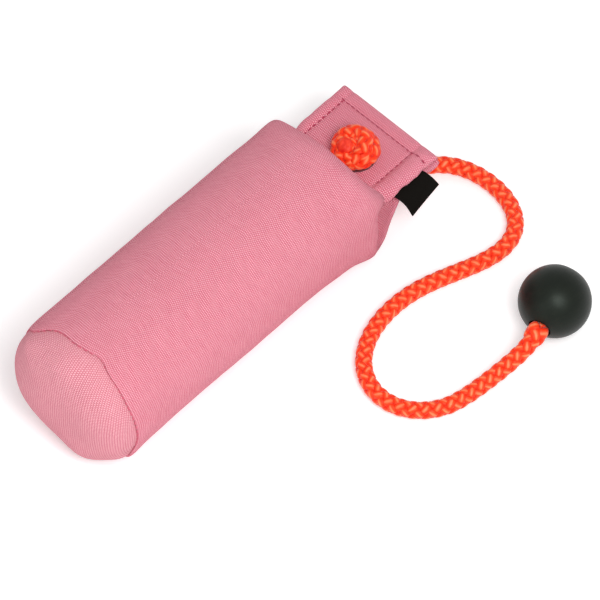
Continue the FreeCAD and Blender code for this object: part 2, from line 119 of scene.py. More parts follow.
# The shoulder's control points: distance back from the throat as a share of the shoulder,
# then how far each corner has moved from the roll to the throat.
STATIONS = [
    # back, top, upper ridge, valley, lower ridge, bottom
    (1.00, 0.00, (0.00, 0.00), 0.00, (0.00, 0.00), 0.00),
    (0.82, 0.00, (0.00, 0.00), 0.00, (0.00, 0.00), 0.00),
    (0.60, 0.00, (0.50, 0.00), 0.00, (0.50, 0.00), 0.00),
    (0.40, 0.05, (1.20, 0.00), 0.00, (1.10, 0.00), 0.06),
    (0.25, 0.22, (1.75, 0.12), 0.12, (1.35, 0.20), 0.24),
    (0.14, 0.57, (1.80, 0.42), 0.40, (1.25, 0.48), 0.50),
    (0.06, 0.92, (1.40, 0.85), 0.75, (1.10, 0.78), 0.80),
    (0.00, 1.00, (1.00, 1.00), 1.00, (1.00, 1.00), 1.00),
]


def mix(a, b, share):
    return a + (b - a) * share


def ease(t):
    """A smooth step from 0 to 1."""
    t = np.clip(t, 0.0, 1.0)
    return t * t * (3 - 2 * t)


def unit(vectors):
    """One vector, or each of an array of vectors, at length 1."""
    vectors = np.asarray(vectors, float)
    return vectors / np.maximum(np.linalg.norm(vectors, axis=-1, keepdims=True), 1e-9)


# ---- meshes

def in_scene(name, data):
    """A new object of the scene that shows the data."""
    piece = bpy.data.objects.new(name, data)
    bpy.context.scene.collection.objects.link(piece)
    return piece


def new_mesh(name, points, faces, uvs=None, floats=None, smooth=True):
    """A mesh object from points in millimetres, with a UV pair for each face corner."""
    mesh = bpy.data.meshes.new(name)
    mesh.from_pydata((np.asarray(points) * MM).tolist(), [], faces)
    if uvs is not None:
        layer = mesh.uv_layers.new(name="cloth")
        layer.data.foreach_set("uv", np.asarray(uvs, np.float32).ravel())
    for key, values in (floats or {}).items():
        attribute = mesh.attributes.new(key, "FLOAT", "POINT")
        attribute.data.foreach_set("value", np.asarray(values, np.float32))
    mesh.polygons.foreach_set("use_smooth", [smooth] * len(mesh.polygons))
    mesh.update()
    outward = bmesh.new()
    outward.from_mesh(mesh)
    bmesh.ops.recalc_face_normals(outward, faces=outward.faces)
    outward.to_mesh(mesh)
    outward.free()
    return in_scene(name, mesh)


def grid_faces(rows, columns, around):
    """Faces of a grid of points, and for each face corner its row and column."""
    last = columns if around else columns - 1
    faces = []
    corners = []
    for i in range(rows - 1):
        for j in range(last):
            k = (j + 1) % columns
            faces.append((i * columns + j, i * columns + k, (i + 1) * columns + k,
                          (i + 1) * columns + j))
            corners += [(i, j), (i, j + 1), (i + 1, j + 1), (i + 1, j)]
    return faces, np.array(corners)


def shifted(faces, by):
    """Faces with each index raised."""
    return [tuple(by + i for i in face) for face in faces]


# ---- canvas cover

def circle_points(radius):
    spread = radius * RING_SPREAD
    return [(spread * math.sin(k * STEP), AXIS_HEIGHT + spread * math.cos(k * STEP))
            for k in range(RING // 2 + 1)]


def shoulder_points(station):
    """Half of a shoulder section's control points, from the top to the bottom."""
    back, top, upper, valley, lower, bottom = station
    roll = circle_points(ROLL_RADIUS)
    middle = FLAP_MIDDLE - CORNER_DROOP / 2
    low = FLAP_BOTTOM - CORNER_DROOP + CANVAS
    keys = {
        0: (0.0, mix(roll[0][1], FLAP_TOP, top)),
        2: (mix(roll[2][0], FLAP_HALF, upper[0]), mix(roll[2][1], FLAP_TOP, upper[1])),
        4: (mix(roll[4][0], THROAT_VALLEY, valley), mix(roll[4][1], middle, valley)),
        6: (mix(roll[6][0], FLAP_HALF + CORNER_FLARE, lower[0]),
            mix(roll[6][1], low, lower[1])),
        8: (0.0, mix(roll[8][1], FLAP_BOTTOM, bottom)),
    }
    points = []
    for k in range(RING // 2 + 1):
        if k in keys:
            points.append(keys[k])
            continue
        swell = [roll[k][i] - (roll[k - 1][i] + roll[k + 1][i]) / 2 for i in (0, 1)]
        middle_point = [(keys[k - 1][i] + keys[k + 1][i]) / 2 for i in (0, 1)]
        points.append(tuple(middle_point[i] + back * swell[i] for i in (0, 1)))
    return points


def ring_weights():
    """How much each control point of a closed cubic spline counts at each column."""
    weights = np.zeros((COLUMNS, RING))
    for j in range(COLUMNS):
        at = RING * j / COLUMNS
        k = int(at)
        f = at - k
        parts = [(1 - f) ** 3 / 6, (3 * f ** 3 - 6 * f ** 2 + 4) / 6,
                 (-3 * f ** 3 + 3 * f ** 2 + 3 * f + 1) / 6, f ** 3 / 6]
        for offset, part in enumerate(parts):
            weights[j, (k - 1 + offset) % RING] += part
    return weights


def clamped_weights(count, samples):
    """How much each control row of a clamped cubic spline counts at each sample."""
    spans = count - 3
    knots = [0] * 3 + list(range(spans + 1)) + [spans] * 3
    at = np.linspace(0, spans, samples)
    level = np.array([[1.0 if knots[i] <= t < knots[i + 1] else 0.0
                       for i in range(len(knots) - 1)] for t in at])
    level[-1, count - 1] = 1.0
    for degree in (1, 2, 3):
        raised = np.zeros((samples, level.shape[1] - 1))
        for i in range(raised.shape[1]):
            left = knots[i + degree] - knots[i]
            right = knots[i + degree + 1] - knots[i + 1]
            if left:
                raised[:, i] += (at - knots[i]) / left * level[:, i]
            if right:
                raised[:, i] += (knots[i + degree + 1] - at) / right * level[:, i + 1]
        level = raised
    return level


def shoulder_rings(samples):
    """The shoulder as rings of points, from the roll to the throat."""
    rings = []
    for station in STATIONS:
        half = shoulder_points(station)
        whole = half + [(-y, z) for y, z in reversed(half[1:-1])]
        x = THROAT_X - SHOULDER * station[0]
        rings.append([(x, y, z) for y, z in whole])
    control = np.array(rings)
    around = np.einsum("jk,rkc->rjc", ring_weights(), control)
    return np.einsum("sr,rjc->sjc", clamped_weights(len(STATIONS), samples), around)


def roll_ring(x, radius):
    return np.stack([np.full(COLUMNS, x), radius * np.sin(TURN),
                     AXIS_HEIGHT + radius * np.cos(TURN)], axis=1)


def fold_path(t, reach, start, centre, thick, up):
    """A point of a flap fold's skin: t runs from its inner end (0) to its outer edge (1)."""
    flat = reach - thick - start
    s = t * (flat + thick * math.pi / 2)
    turn = np.clip((s - flat) / thick, 0, math.pi / 2)
    y = start + np.minimum(s, flat) + thick * np.sin(turn)
    return y, centre + up * thick * np.cos(turn)


FOLD_DROOP = 10.5      # the flap's own lower fold at the throat: its drop
FOLD_FLARE = 2.7       # and how far it stands out
FOLD_VALLEY = 0.4      # half the gap between the side folds further out
TIP_REACH = 9.3        # near the flap's end its right lower fold comes out from under it:
TIP_FLARE = 1.5        # this far out
TIP_DROOP = 0.9        # and this far down
TUCK_REACH = 8.0       # the flap's right edge is drawn down into the shoulder over this length
TUCK_DROP = 2.0        # by this much
RIGHT_PUFF = 1.35
LEFT_PUFF = 0.5
END_PUFF = 0.45
STITCH_DIP = 0.55
STITCH_GROOVE = 0.9


def puff(x, y, side):
    """How far the flap's skin stands above its plies: a soft band outside each stitched row."""
    row = -RIGHT_ROW[0][1] - 0.25 if side < 0 else LEFT_ROW[1][1] - 0.25
    share = np.clip((y - row) / (FLAP_HALF - row), 0, 1)
    band = (RIGHT_PUFF if side < 0 else LEFT_PUFF) * np.sin(math.pi * share) ** 0.8
    band = band * ease((FLAP_END - x) / 4)
    dip = STITCH_DIP * np.exp(-((y - row) / STITCH_GROOVE) ** 2)
    end_row = (END_ROW[0][0] + END_ROW[1][0]) / 2
    past = min(1.0, max(0.0, (x - end_row) / (FLAP_END - end_row)))
    channel = STITCH_DIP * math.exp(-((x - end_row) / STITCH_GROOVE) ** 2)
    return np.maximum(band, END_PUFF * math.sin(math.pi * past)) - np.maximum(dip, channel)


def flap_ring(x):
    """A ring round the folded flap: upper ply, both legs of the side fold, lower ply."""
    side = np.where(np.arange(COLUMNS) <= COLUMNS // 2, 1.0, -1.0)
    right = side < 0
    leg_height = (FLAP_TOP - FLAP_BOTTOM) / 4
    thick = leg_height - 0.03
    near = max(0.0, 1 - (x - THROAT_X) / CORNER_REACH)
    tucked = float(ease((THROAT_X + TUCK_REACH - x) / TUCK_REACH))
    valley = mix(THROAT_VALLEY, FOLD_VALLEY, ease((x - THROAT_X) / 6))
    wave = 0.2 * math.sin(0.55 * x + 0.8) + 0.12 * math.sin(1.3 * x)
    upper = FLAP_HALF + np.where(right, wave + 0.25 + 0.8 * tucked, 0.4 * wave - 0.45)
    tip = float(ease((x - FLAP_END + TIP_REACH) / 6)) * right
    lower = FLAP_HALF - 0.4 + FOLD_FLARE * near ** 0.8 + TIP_FLARE * tip
    high = FLAP_MIDDLE + leg_height
    low = FLAP_MIDDLE - leg_height
    legs = [
        fold_path(ROLE, upper, 0.0, high, thick, 1),
        fold_path(2 - ROLE, upper, valley, high, thick, -1),
        fold_path(ROLE - 2, lower, valley, low, thick, 1),
        fold_path(4 - ROLE, lower, 0.0, low, thick, -1),
    ]
    leg = np.minimum(ROLE.astype(int), 3)
    y = np.choose(leg, [path[0] for path in legs])
    z = np.choose(leg, [path[1] for path in legs])
    top = (ROLE < 1.0) * ease((1.0 - ROLE) / 0.12)
    z = z + top * np.where(right, puff(x, y, -1), puff(x, y, 1))
    droop = (FOLD_DROOP * near + TIP_DROOP * tip) * ease((y - 9) / 13)
    sunk = TUCK_DROP * tucked * ease((y - 16) / 6) * right
    z = z - np.where(ROLE > 2, droop, sunk)
    return np.stack([np.full(COLUMNS, x), side * y, z], axis=1)


# Places where the stuffing pushes the shoulder out or the cloth draws it in: centre,
# direction, how far, and how wide.
PUSHES = [
    ((57.0, -25.5, 12.0), (0.1, -0.85, -0.45), 1.1, 10.0),
    ((46.0, -24.5, 14.0), (0.0, -0.9, -0.43), 0.8, 9.0),
    ((64.0, -22.5, 36.0), (0.45, -0.75, 0.35), 3.0, 5.0),
    ((57.0, 18.0, 44.0), (-0.3, -0.6, -0.7), 0.9, 11.0),
    ((-64.0, -9.0, 7.0), (-0.7, -0.3, -0.6), 1.6, 8.0),
    ((-55.5, -21.5, 7.5), (-0.2, -0.8, -0.55), 1.9, 6.0),
    ((-64.0, 14.0, 22.0), (-0.75, 0.55, -0.3), 1.6, 12.0),
]
# How the hand-sewn seam wanders along the roll: angle from the top, width, how far.
SEAM_WAVES = [(-18, 9, 1.6), (-60, 20, -0.5), (4, 7, -0.5), (45, 13, -3.0)]
SEAM_SHIFT = -0.3
FLOOR_GAP = 0.05


def pushed(points):
    """Points of the cover or disc after the pushes, which fade out where the flap begins."""
    fade = 1 - ease((points[..., :1] - (THROAT_X - 1)) / 5)
    for centre, way, amount, width in PUSHES:
        gap = np.linalg.norm(points - np.array(centre), axis=-1, keepdims=True)
        points = points + unit(way) * amount * np.exp(-(gap / width) ** 2) * fade
    return points


def on_floor(points):
    """Points held above the floor, on which the stuffed roll flattens."""
    points[..., 2] = np.maximum(points[..., 2], FLOOR_GAP)
    return points


def seam_shift(angle):
    """How far along the roll the seam lies from its plane, at an angle from the top."""
    degrees = (math.degrees(angle) + 180) % 360 - 180
    waves = [far * math.exp(-((degrees - at) / width) ** 2) for at, width, far in SEAM_WAVES]
    return SEAM_SHIFT + sum(waves)


def flap_share(x):
    """How much of the flap's ring counts at each column: the lower folds begin earlier."""
    late = ease((x - THROAT_X + 4.5) / 11)
    early = ease((x - THROAT_X + 9.5) / 8)
    lower = ease((ROLE - 2.2) / 0.5) * (1 - ease((ROLE - 3.3) / 0.6))
    return mix(late, np.maximum(late, early), lower)[:, None]


def soft_waves(points, normals):
    """Points moved by the slight unevenness of a hand-stuffed roll."""
    moved = points.copy()
    for i in range(points.shape[0]):
        for j in range(points.shape[1]):
            p = points[i, j]
            away = float(np.clip((THROAT_X - p[0]) / 12, 0, 1))
            swell = 0.28 * noise.noise(Vector(p) * 0.045) + 0.12 * noise.noise(Vector(p) * 0.13)
            moved[i, j] = p + normals[i, j] * swell * away
    return moved


def grid_normals(points):
    along = np.gradient(points, axis=0)
    around = np.roll(points, -1, axis=1) - np.roll(points, 1, axis=1)
    return unit(np.cross(around, along))


# The sleeve's rim behind the seam: how deep, and how far inside the roll's skin.
TURNED_RIM = [(SEAM_DEPTH, 2.1), (1.8, 1.8), (0.7, 1.4), (0.15, 1.05), (-0.12, 0.8)]
EASE_RINGS = 10
ROLL_GAP = 1.0
SHOULDER_RINGS = 64
FLAP_GAP = 0.6
END_TURN = 1.2
END_SHARES = (0.3, 0.55, 0.75, 0.9)
CAP_UV = (200.0, 0.0)


def cover_rings():
    """All rings of the cover, from the tucked seam to the flap's end."""
    rings = [roll_ring(SEAM_X + depth, ROLL_RADIUS - back) for depth, back in TURNED_RIM]
    for k in range(EASE_RINGS):
        t = (k + 1) / EASE_RINGS
        rings.append(roll_ring(SEAM_X + SEAM_EASE * t ** 1.6, ROLL_RADIUS - SEAM_WAIST * (1 - t) ** 2))
    start = SEAM_X + SEAM_EASE
    stop = THROAT_X - SHOULDER
    count = int((stop - start) / ROLL_GAP)
    for k in range(1, count):
        rings.append(roll_ring(mix(start, stop, k / count), ROLL_RADIUS))
    shoulder = list(shoulder_rings(SHOULDER_RINGS))
    count = int((FLAP_END - THROAT_X) / FLAP_GAP)
    for k in range(1, count):
        shoulder.append(shoulder[-1].copy())
        shoulder[-1][:, 0] = mix(THROAT_X, FLAP_END - END_TURN, k / (count - 1))
    for ring in shoulder:
        x = ring[0, 0]
        rings.append(mix(ring, flap_ring(x), flap_share(x)))
    last = rings[-1]
    for t in END_SHARES:
        ring = last.copy()
        ring[:, 0] = FLAP_END - END_TURN * (1 - t)
        ring[:, 2] = mix(FLAP_MIDDLE, last[:, 2], math.sqrt(1 - t * t))
        rings.append(ring)
    rings = pushed(np.array(rings))
    for j, angle in enumerate(TURN):
        fade = 1 - ease((rings[:, j, 0] - SEAM_X) / 14)
        rings[:, j, 0] += seam_shift(angle) * fade
    return rings


def cap_faces(first):
    """Faces that close the flap's end: upper fold, lower fold, and the strip between them."""
    quarter = COLUMNS // 8
    middle = 4 * quarter
    faces = []

    def at(k):
        return first + k % COLUMNS

    for sign in (1, -1):
        for base, way in ((0, sign), (middle, -sign)):
            for k in range(quarter):
                skin = (at(base + way * k), at(base + way * (k + 1)))
                fold = (at(base + way * (2 * quarter - k - 1)), at(base + way * (2 * quarter - k)))
                faces.append(skin + (fold if skin[1] != fold[0] else fold[1:]))
    faces.append((at(0), at(2 * quarter), at(middle)))
    faces.append((at(0), at(-2 * quarter), at(middle)))
    return faces


def cover_uvs(rings, corners):
    """UVs of the cover in millimetres of cloth, evened out where the weave runs onto the flap."""
    steps = np.linalg.norm(np.diff(rings, axis=0), axis=2)
    length = np.concatenate([np.zeros((1, COLUMNS)), np.cumsum(steps, axis=0)])
    even = (1 - ease((ROLE - 1.1) / 0.5)) * ease((rings[:, :, 0] - THROAT_X + 9.3) / 11)
    length = mix(length, length[:, :1], even)
    length = np.concatenate([length, length[:, :1]], axis=1)
    girth = 2 * math.pi * ROLL_RADIUS * np.arange(COLUMNS + 1) / COLUMNS
    return np.stack([girth[corners[:, 1]], length[corners[:, 0], corners[:, 1]]], axis=1)


def canvas_cover():
    rings = cover_rings()
    rings = on_floor(soft_waves(rings, grid_normals(rings)))
    faces, corners = grid_faces(len(rings), COLUMNS, True)
    points = rings.reshape(-1, 3)
    cap = cap_faces(len(points) - COLUMNS)
    cap_uvs = [points[index][1:] + CAP_UV for face in cap for index in face]
    uvs = np.concatenate([cover_uvs(rings, corners), cap_uvs])
    # Painted shade on the flap: 0 on the roll, rising to 1 just past the throat.
    flap_shade_and_contrast = ease((points[:, 0] - THROAT_X + 1) / 4)
    return new_mesh("canvas_cover", points, faces + cap, uvs, {"flap_shade_and_contrast": flap_shade_and_contrast})


# ---- end disc

DISC_COLUMNS = 192
DOME_ROWS = 40
# The disc's rim behind the seam: how far inside the disc's edge, and how deep.
DISC_RIM = [(0.25, 0.35), (0.55, 0.9), (0.95, 2.0), (1.25, SEAM_DEPTH)]


def disc_profile():
    """The disc's profile from its middle to its turned rim: radius, and height along the roll."""
    profile = []
    for k in range(DOME_ROWS + 1):
        share = math.sin(math.pi / 2 * k / DOME_ROWS)
        rise = -DOME * (1 - share ** DISC_FLATNESS) ** (1 / DISC_FLATNESS)
        profile.append((share * DISC_RADIUS, rise))
    return profile + [(DISC_RADIUS - inside, depth) for inside, depth in DISC_RIM]


def end_disc():
    """The domed disc, with its sewn rim turned in behind the seam."""
    profile = disc_profile()
    points = [(SEAM_X + profile[0][1], 0.0, AXIS_HEIGHT)]
    flat = [(0.0, 0.0)]
    arc = 0.0
    for k in range(1, len(profile)):
        radius, rise = profile[k]
        arc += math.hypot(radius - profile[k - 1][0], rise - profile[k - 1][1])
        domed = k <= DOME_ROWS
        share = min(1.0, radius / DISC_RADIUS)
        for j in range(DISC_COLUMNS):
            angle = 2 * math.pi * j / DISC_COLUMNS
            aside = math.sin(angle)
            above = math.cos(angle)
            pucker = 0.22 * share ** 6 * noise.noise(Vector((4 * aside, 4 * above, 3)))
            swell = 0.5 * noise.noise(Vector((aside, above, 0)) * radius * 0.07) * (1 - share ** 6)
            out = radius + pucker * domed
            x = SEAM_X + rise - swell * domed + seam_shift(angle) * share ** 5
            points.append((x, out * aside, AXIS_HEIGHT + out * above))
            flat.append((arc * above, arc * aside))
    faces = [(0, 1 + (j + 1) % DISC_COLUMNS, 1 + j) for j in range(DISC_COLUMNS)]
    faces += shifted(grid_faces(len(profile) - 1, DISC_COLUMNS, True)[0], 1)
    uvs = [flat[i] for face in faces for i in face]
    return new_mesh("end_disc_canvas", on_floor(pushed(np.array(points))), faces, uvs)


# ---- stitches

STITCH_LENGTH = 1.7
STITCH_PITCH = 2.3
THREAD = 0.28
SEAM_THREAD = 0.24
END_ROW_Y = (-18.6, 18.4)
# The extra stitches at the flap's corner: x from the end row, and y.
CORNER_ROW = ((-0.5, -21.0), (-0.3, -19.4))
SIDE_ROW_EXTRA = 1.2


def stitches(name, spots, thread=THREAD):
    """Thread stitches. Each spot is a centre, a direction along the row and the cloth's normal."""
    points = []
    faces = []
    around = 2 * math.pi * np.arange(8) / 8
    for index, (centre, along, out) in enumerate(spots):
        along = unit(along)
        out = unit(out)
        across = np.cross(out, along)
        lean = 0.10 * math.sin(index * 2.4)
        rings = []
        for t in np.linspace(-1, 1, 9):
            middle = (np.array(centre) + along * (t * STITCH_LENGTH / 2) + across * (lean * t)
                      + out * (0.22 * (1 - t ** 4) - 0.12))
            girth = thread * (1 - 0.55 * t ** 6)
            rings.append(middle + np.outer(girth * np.cos(around), across)
                         + np.outer(girth * 0.8 * np.sin(around), out))
        skin, skin_faces, _ = tube(np.array(rings))
        faces += shifted(skin_faces, len(points))
        points += list(skin)
    return new_mesh(name, points, faces)


def row_spots(start, end, out):
    start = np.array(start, float)
    end = np.array(end, float)
    length = np.linalg.norm(end - start)
    count = max(1, round(length / STITCH_PITCH))
    along = (end - start) / length
    return [(start + along * (length * (k + 0.5) / count), along, out) for k in range(count)]


def seam_spots():
    radius = DISC_RADIUS + 0.12
    count = round(2 * math.pi * radius / STITCH_PITCH)
    spots = []
    for k in range(count):
        angle = 2 * math.pi * k / count
        aside = math.sin(angle)
        above = math.cos(angle)
        centre = (SEAM_X + 0.05 + seam_shift(angle), radius * aside, AXIS_HEIGHT + radius * above)
        centre = on_floor(pushed(np.array(centre)))
        spots.append((centre, (0, above, -aside), (-1.0, 0.5 * aside, 0.5 * above)))
    return spots


def flap_spots(row, across=False):
    """Spots of one stitched row of the flap, with the extra stitches where the end row stops."""
    up = (0, 0, 1)
    x, y, _ = (row[0] + row[1]) / 2
    if across:
        spots = row_spots((x, END_ROW_Y[0], 0), (x, END_ROW_Y[1], 0), up)
        spots += row_spots(*((x + back, aside, 0) for back, aside in CORNER_ROW), up)
    else:
        spots = row_spots((row[0][0], y, 0), (row[1][0] + SIDE_ROW_EXTRA, y, 0), up)
    raised = []
    for centre, along, out in spots:
        height = FLAP_TOP + puff(centre[0], abs(centre[1]), math.copysign(1, centre[1]))
        raised.append(((centre[0], centre[1], height), along, out))
    return raised


def side_spots():
    middle = (SIDE_LOW + SIDE_HIGH) / 2
    out = np.array((0, middle[1], middle[2] - AXIS_HEIGHT)) / ROLL_RADIUS
    y, z = (middle - 0.25 * out)[1:]
    return row_spots((SIDE_LOW[0], y, z), (SIDE_HIGH[0], y, z), out)


# ---- braided rope

STRANDS = 8
STRAND_SIDES = 12
BRAID_LEAD = 16.6
BRAID_STEP = 0.4
STRAND_CENTRE = 1.95
STRAND_LIFT = 0.36
STRAND_HALF = (1.42, 0.72)
CORE_RADIUS = 1.9


def resample(line, step):
    line = np.asarray(line, float)
    gaps = np.linalg.norm(np.diff(line, axis=0), axis=1)
    along = np.concatenate([[0], np.cumsum(gaps)])
    count = max(2, int(along[-1] / step) + 1)
    at = np.linspace(0, along[-1], count)
    return np.stack([np.interp(at, along, line[:, k]) for k in range(3)], axis=1), at


def smooth_line(points, steps=24):
    """A smooth line through points (Catmull-Rom)."""
    points = [np.array(p, float) for p in points]
    points = [2 * points[0] - points[1]] + points + [2 * points[-1] - points[-2]]
    line = []
    for i in range(1, len(points) - 2):
        p0, p1, p2, p3 = points[i - 1:i + 3]
        for k in range(steps):
            t = k / steps
            line.append(0.5 * (2 * p1 + (p2 - p0) * t + (2 * p0 - 5 * p1 + 4 * p2 - p3) * t ** 2
                               + (3 * p1 - p0 - 3 * p2 + p3) * t ** 3))
    line.append(points[-2])
    return line


def frames(line):
    """Directions along, and two steady directions across, a line."""
    along = unit(np.gradient(line, axis=0))
    first = np.cross(along[0], (0.0, 0.0, 1.0))
    if np.linalg.norm(first) < 0.1:
        first = np.cross(along[0], (1.0, 0.0, 0.0))
    across = [unit(first)]
    for way in along[1:]:
        across.append(unit(across[-1] - way * np.dot(across[-1], way)))
    across = np.array(across)
    return along, across, np.cross(along, across)


def tube(rings):
    """Points and faces of a closed tube through rings of points, and its face corners."""
    rows, sides = rings.shape[:2]
    faces, corners = grid_faces(rows, sides, True)
    faces.append(tuple(reversed(range(sides))))
    faces.append(tuple((rows - 1) * sides + j for j in range(sides)))
    return rings.reshape(-1, 3), faces, corners


def add_tube(parts, rings, at, phase, girth, strand_shading):
    """Add a tube to a rope's points, faces, UVs and painted light and shade on its strands."""
    points, faces, uvs, braid_shading = parts
    skin, skin_faces, corners = tube(rings)
    sides = rings.shape[1]
    faces += shifted(skin_faces, len(points))
    points += list(skin)
    uvs += [(phase + girth * c / sides, at[r]) for r, c in corners]
    uvs += [(0.0, 0.0)] * (2 * sides)
    braid_shading += list(strand_shading.ravel())


def add_braid(parts, line, flare):
    """Add a braided rope along a line: flat strands round a core, half of them turning each way."""
    line, at = resample(line, BRAID_STEP)
    _, across, up = frames(line)
    narrow = mix(1.0, flare, ease((at - at[-1] + 6) / 5))
    turn = 2 * math.pi * np.arange(STRAND_SIDES) / STRAND_SIDES

    def section(middle, wide, thick, half_wide, half_thick):
        """Oval rings round the middle line."""
        wider = np.outer(narrow, half_wide * np.cos(turn))[:, :, None] * wide[:, None, :]
        thicker = np.outer(narrow, half_thick * np.sin(turn))[:, :, None] * thick[:, None, :]
        return middle[:, None, :] + wider + thicker

    # Painted highlight along each strand's outer crest.
    crest_highlight = np.clip(np.sin(turn), 0, 1) ** 9
    for strand in range(STRANDS):
        way = 1 if strand % 2 == 0 else -1
        angle = 2 * math.pi * (strand // 2) / (STRANDS // 2) + way * 2 * math.pi * at / BRAID_LEAD
        lift_and_shade = np.tanh(1.8 * way * np.cos(STRANDS / 2 * angle)) / math.tanh(1.8)
        radius = (STRAND_CENTRE + STRAND_LIFT * lift_and_shade) * narrow
        out = across * np.cos(angle)[:, None] + up * np.sin(angle)[:, None]
        middle = line + out * radius[:, None]
        run = unit(np.gradient(middle, axis=0))
        wide = unit(np.cross(out, run))
        rings = section(middle, wide, np.cross(run, wide), *STRAND_HALF)
        # Painted light and shade: lighter where a strand lies over and along its crest, darker where it
        # passes under.
        strand_shading = np.outer(0.5 + 0.5 * lift_and_shade, 0.3 + 0.6 * crest_highlight)
        add_tube(parts, rings, at, 7.3 * strand, 1.6, strand_shading)
    core = section(line, across, up, CORE_RADIUS, CORE_RADIUS)
    add_tube(parts, core, at, 0.0, 1.0, np.zeros(core.shape[:2]))


def braided(name, lines, flare=1.0):
    """One piece of braided rope along each of the lines, wider by flare at each line's end."""
    parts = ([], [], [], [])
    for line in lines:
        add_braid(parts, line, flare)
    points, faces, uvs, strand_shading = parts
    return new_mesh(name, points, faces, uvs, {"lift_and_shade": strand_shading})


BORE_HEADING = math.radians(17.0)
BORE_RISE = math.radians(3.0)
BORE_AXIS = np.array([math.cos(BORE_RISE) * math.cos(BORE_HEADING),
                      math.cos(BORE_RISE) * math.sin(BORE_HEADING), math.sin(BORE_RISE)])
BALL_MOUTH = 12.0
ON_FLOOR = ROPE / 2 + 0.05
EXIT_Z = FLAP_BOTTOM - 2.1


# The rope's route between the eyelet and the ball: it falls, lies on the floor and rises.
ROPE_FALLS = [(76.9, -2.0, 11.6), (82.2, -3.2, 7.9), (89.6, -5.6, 5.8), (97.4, -8.9, 4.7),
              (104.4, -13.4, 3.9), (108.7, -19.6, ON_FLOOR + 0.3)]
ROPE_LIES = [(110.8, -27.4), (110.6, -36.3), (107.9, -44.4), (102.4, -50.3), (94.8, -52.4),
             (86.4, -51.2), (77.8, -48.1), (69.3, -44.8), (60.6, -42.3), (51.3, -41.4),
             (42.3, -42.3), (33.6, -45.3), (26.2, -50.9), (21.8, -59.2), (21.9, -68.6),
             (26.6, -76.9), (34.4, -82.2), (42.2, -83.9)]
ROPE_RISES = [(49.2, -84.9, ON_FLOOR + 0.5), (55.4, -86.1, ON_FLOOR + 2.2),
              (60.9, -87.4, ON_FLOOR + 4.7), (65.6, -88.3, ON_FLOOR + 7.2)]


def rope_route():
    """The rope's route from under the eyelet to the ball's bore, as in the part."""
    hanging = [(EYELET[0], EYELET[1], EXIT_Z), (EYELET[0], EYELET[1], EXIT_Z - 5.5)]
    lying = [(x, y, ON_FLOOR) for x, y in ROPE_LIES]
    in_bore = [tuple(BALL_CENTRE - BORE_AXIS * (BALL_MOUTH + back)) for back in (4.0, 0.0)]
    return hanging + ROPE_FALLS + lying + ROPE_RISES + in_bore


def spline_line(route):
    """The points of one open NURBS spline with the route as its control points, in metres."""
    curve = bpy.data.curves.new("route", "CURVE")
    curve.dimensions = "3D"
    curve.resolution_u = 16
    spline = curve.splines.new("NURBS")
    spline.points.add(len(route) - 1)
    for point, place in zip(spline.points, route):
        point.co = (*(c * MM for c in place), 1.0)
    spline.order_u = 3
    spline.use_endpoint_u = True
    bare = bpy.data.objects.new("route", curve)
    mesh = bpy.data.meshes.new_from_object(bare)
    line = [tuple(v.co) for v in mesh.vertices]
    bpy.data.meshes.remove(mesh)
    bpy.data.objects.remove(bare)
    bpy.data.curves.remove(curve)
    return line


def throw_rope(line):
    return braided("throw_rope_braid", [np.array(line) / MM], flare=1.36)


def melted_tip(name, foot, axis, radius):
    """The rope's melted end: a smooth, slightly lumpy button."""
    axis = unit(axis)
    first = unit(np.cross(axis, (0.3, 1.0, 0.2)))
    second = np.cross(axis, first)
    rings = []
    for t in np.linspace(0, 1, 14):
        rise = math.sin(t * math.pi / 2) * 1.5
        width = radius * math.cos(t * math.pi / 2 * 0.985) ** 0.6
        ring = []
        for angle in 2 * math.pi * np.arange(40) / 40:
            x = math.cos(angle)
            y = math.sin(angle)
            bump = 1 + 0.05 * noise.noise(Vector((x, y, t)) * 2.3)
            lump = 0.25 * noise.noise(Vector((x * width, y * width, 5)) * 0.7)
            ring.append(np.array(foot) + axis * (rise + lump * t) + (first * x + second * y) * width * bump)
        rings.append(ring)
    points, faces, _ = tube(np.array(rings))
    return new_mesh(name, points, faces)


def ring_line(centre, radius, start, sweep, rise, axis=(0, 0, 1), first=(1, 0, 0)):
    """A turn of rope round an axis, rising along it; angles in degrees."""
    axis, first = np.array((axis, first), float)
    second = np.cross(axis, first)
    line = []
    for t in np.linspace(0, 1, 41):
        angle = math.radians(start + sweep * t)
        line.append(np.array(centre) + (first * math.cos(angle) + second * math.sin(angle)) * radius
                    + axis * rise * t)
    return line


# The two level directions in which the flap's knot is laid out.
KNOT_ACROSS = np.array([0.692, -0.722, 0.0])
KNOT_ALONG = np.array([0.722, 0.692, 0.0])


def flap_knot():
    """The stopper knot: up through the eyelet, one low turn, a strap over it, and the end."""
    seat = np.array([EYELET[0], EYELET[1], GROMMET_HIGH[2]])

    def at(across, along, up):
        return seat + KNOT_ACROSS * across + KNOT_ALONG * along + np.array([0, 0, up])

    low_turn = ring_line(seat + (0, 0, 2.75), 5.7, -60, 372, 0.5)
    stem = [at(0, 0, EXIT_Z - seat[2]), at(0, 0, -3.0), at(0, 0, 0.2), at(1.2, 0.3, 2.4),
            at(3.2, 1.5, 2.9)]
    strap = [at(-4.9, 3.4, 3.0), at(-2.6, 4.9, 4.2), at(0.6, 4.5, 5.5), at(2.7, 2.3, 6.2),
             at(3.1, -0.6, 6.2), at(2.3, -3.3, 5.5), at(0.3, -5.2, 4.2), at(-2.2, -5.6, 3.0)]
    end = [at(1.4, 0.8, 3.2), at(-1.2, 0.2, 4.4), at(-2.9, -0.9, 5.7), at(-3.5, -1.5, 6.9)]
    knot = braided("flap_knot_braid",
                   [smooth_line(stem), low_turn, smooth_line(strap), smooth_line(end)])
    cap = melted_tip("flap_knot_tip", at(-3.5, -1.5, 6.5), at(-0.35, -0.45, 1.0) - seat, 2.85)
    return knot, cap


